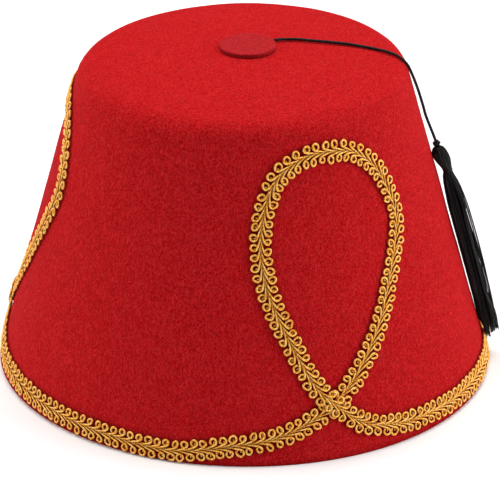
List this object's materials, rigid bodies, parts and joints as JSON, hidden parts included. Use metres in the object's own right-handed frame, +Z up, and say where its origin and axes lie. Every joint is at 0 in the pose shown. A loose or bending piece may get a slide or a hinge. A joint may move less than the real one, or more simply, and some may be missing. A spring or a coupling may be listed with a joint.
{
  "type": "fez",
  "caption": "Felt hat shaped as a truncated cone, open below, with looped gimp braid, a felt button and a hanging tassel on a cord.",
  "frame": {"origin": "centre of the rim's lower edge, on the surface that the hat rests on", "axes": "+Z up through the crown's top, -Y to the front, +X to the side where the tassel hangs"},
  "size_m": [0.1964, 0.192, 0.1307],
  "materials": {
    "crown_felt": "brushed wool felt, deep red",
    "button_felt": "smooth wool felt, slightly pinker red",
    "gold_gimp": "metallic gold thread, satin",
    "black_cord": "twisted black cord",
    "black_thread": "black rayon thread, soft sheen"
  },
  "bodies": {
    "root": {"felt_crown": "crown_felt", "top_button": "button_felt", "gimp_braid": "gold_gimp", "tassel_cord": "black_cord", "cord_knot": "black_cord", "tassel": "black_thread"}
  },
  "joints": []
}
